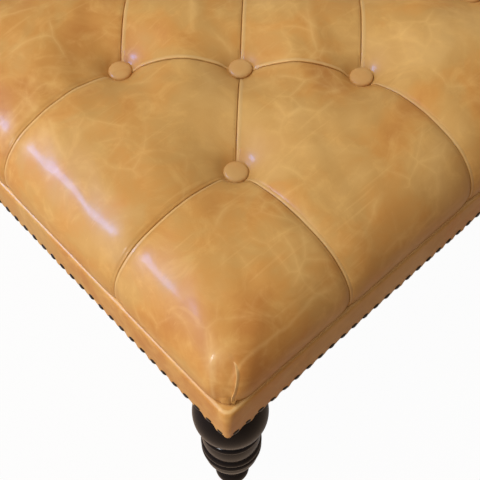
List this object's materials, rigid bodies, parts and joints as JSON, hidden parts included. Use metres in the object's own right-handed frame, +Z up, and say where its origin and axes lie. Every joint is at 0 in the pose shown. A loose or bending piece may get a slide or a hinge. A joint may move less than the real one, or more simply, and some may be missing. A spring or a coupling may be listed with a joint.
{
  "type": "tufted ottoman",
  "caption": "Rectangular cocktail ottoman with a diamond-tufted leather cushion, covered buttons, a low nail-trimmed band and turned dark wood legs.",
  "frame": {"origin": "on the floor, under the middle of the ottoman", "axes": "+X along the long side, +Y along the short side, +Z up"},
  "size_m": [1.244, 0.82, 0.4761],
  "materials": {
    "leather": "waxed pull-up leather, camel tan, mottled, semi-gloss",
    "batting": "lofty polyester wadding",
    "foam": "open-cell upholstery foam",
    "steel": "zinc plated",
    "twine": "waxed tufting twine",
    "plywood": "bare plywood",
    "pine": "bare planed softwood",
    "felt": "needled felt",
    "glide": "moulded, smooth underside",
    "cambric": "thin black non-woven cloth",
    "ebonised": "turned, near-black brown lacquer, glossy",
    "nail": "dark antique, satin"
  },
  "bodies": {
    "root": {"cushion_cover": "leather", "cushion_batting": "batting", "cushion_foam": "foam", "button_covers": "leather", "button_shells": "steel", "tufting_twine": "twine", "twine_staples": "steel", "hem_staples": "steel", "deck_board": "plywood", "deck_screws": "steel", "frame_screws": "steel", "block_screws": "steel", "band_leather": "leather", "band_padding": "felt", "leg_plates": "steel", "plate_screws": "steel", "leg_bolts": "steel", "floor_glides": "glide", "dust_cover": "cambric", "dust_staples": "steel", "rail_front": "pine", "rail_back": "pine", "rail_left": "pine", "rail_right": "pine", "cross_rail_left": "pine", "cross_rail_right": "pine", "leg_front_left": "ebonised", "leg_front_right": "ebonised", "leg_back_left": "ebonised", "leg_back_right": "ebonised", "corner_block_front_left": "pine", "corner_block_front_right": "pine", "corner_block_back_left": "pine", "corner_block_back_right": "pine", "nails_front": "nail", "nails_back": "nail", "nails_left": "nail", "nails_right": "nail"}
  },
  "joints": []
}
